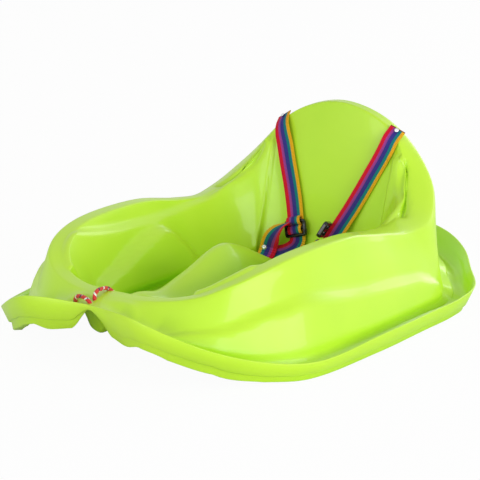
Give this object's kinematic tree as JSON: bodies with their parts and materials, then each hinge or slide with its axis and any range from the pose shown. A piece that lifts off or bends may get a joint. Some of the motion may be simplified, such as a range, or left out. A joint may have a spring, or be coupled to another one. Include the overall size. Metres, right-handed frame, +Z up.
{
  "type": "baby pull sled",
  "caption": "One-piece moulded tub sled for a small child, with a high backrest, leg wells either side of a pommel, riveted shoulder straps with sliding adjusters and a tow rope.",
  "frame": {"origin": "on the ground under the middle of the sled's length and width", "axes": "+Z up, the bow with the tow rope towards -Y, the backrest and stern towards +Y, +X the left of the child who sits in it"},
  "size_m": [0.5016, 0.67, 0.247],
  "materials": {
    "lime_shell": "smooth moulded gloss, lime green",
    "black_adjuster": "polished black moulding",
    "rainbow_webbing": "fine ribbed woven webbing with red, pink, violet, teal and yellow stripes",
    "rivet_aluminium": "bright drawn",
    "tow_rope_braid": "red round braid with white and navy flecks",
    "tie_strip": "matt black soft strip"
  },
  "bodies": {
    "sled": {"tub_shell": "lime_shell", "left_shoulder_strap": "rainbow_webbing", "left_strap_tail": "rainbow_webbing", "right_shoulder_strap": "rainbow_webbing", "right_strap_tail": "rainbow_webbing", "left_upper_rivet": "rivet_aluminium", "left_upper_washer": "rivet_aluminium", "left_lower_rivet": "rivet_aluminium", "left_lower_washer": "rivet_aluminium", "right_upper_rivet": "rivet_aluminium", "right_upper_washer": "rivet_aluminium", "right_lower_rivet": "rivet_aluminium", "right_lower_washer": "rivet_aluminium", "tow_rope": "tow_rope_braid", "tow_rope_coil": "tow_rope_braid", "tow_rope_end": "tow_rope_braid", "coil_tie": "tie_strip", "deck_knot": "tow_rope_braid", "end_knot": "tow_rope_braid"},
    "left_adjuster": {"left_strap_adjuster": "black_adjuster"},
    "right_adjuster": {"right_strap_adjuster": "black_adjuster"}
  },
  "joints": [
    {"name": "left_adjuster_slide", "type": "slide", "parent": "sled", "child": "left_adjuster", "axis": [0.3855, 0.3731, 0.8439], "range_m": [-0.004, 0.025]},
    {"name": "right_adjuster_slide", "type": "slide", "parent": "sled", "child": "right_adjuster", "axis": [-0.277, 0.2216, 0.935], "range_m": [-0.004, 0.025]}
  ]
}
